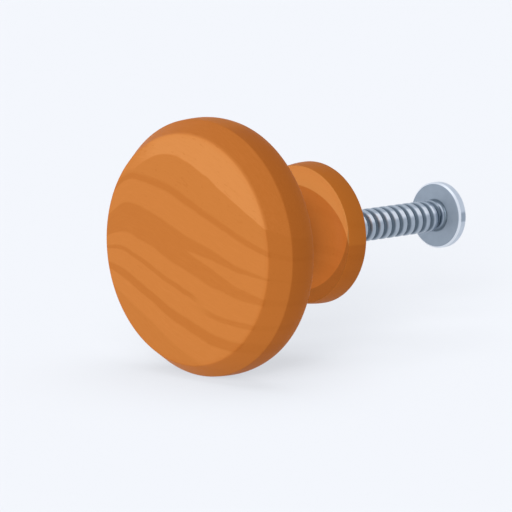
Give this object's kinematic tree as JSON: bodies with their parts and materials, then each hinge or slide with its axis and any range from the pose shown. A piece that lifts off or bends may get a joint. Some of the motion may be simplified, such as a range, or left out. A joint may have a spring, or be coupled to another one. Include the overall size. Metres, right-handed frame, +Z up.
{
  "type": "cabinet knob",
  "caption": "Turned wooden mushroom knob for a drawer or cabinet door, with a base collar and a steel screw that clamps it from behind.",
  "frame": {"origin": "on the turning axis, in the knob's flat base face, which bears on the front of the drawer or door", "axes": "+Y along the turning and screw axis, out of the base into the drawer front; the grip's face looks along -Y; +Z up"},
  "size_m": [0.038, 0.0581, 0.038],
  "materials": {
    "turned_wood": "warm orange-brown grained wood with a satin clear lacquer",
    "insert_brass": "plain machined brass",
    "screw_steel": "bright zinc-plated steel, satin"
  },
  "bodies": {
    "knob": {"knob_body": "turned_wood", "threaded_insert": "insert_brass"},
    "screw": {"mounting_screw": "screw_steel"}
  },
  "joints": [
    {"name": "screw_travel", "type": "slide", "parent": "knob", "child": "screw", "axis": [0, 1, 0], "range_m": [-0.0092, 0.0062]}
  ]
}
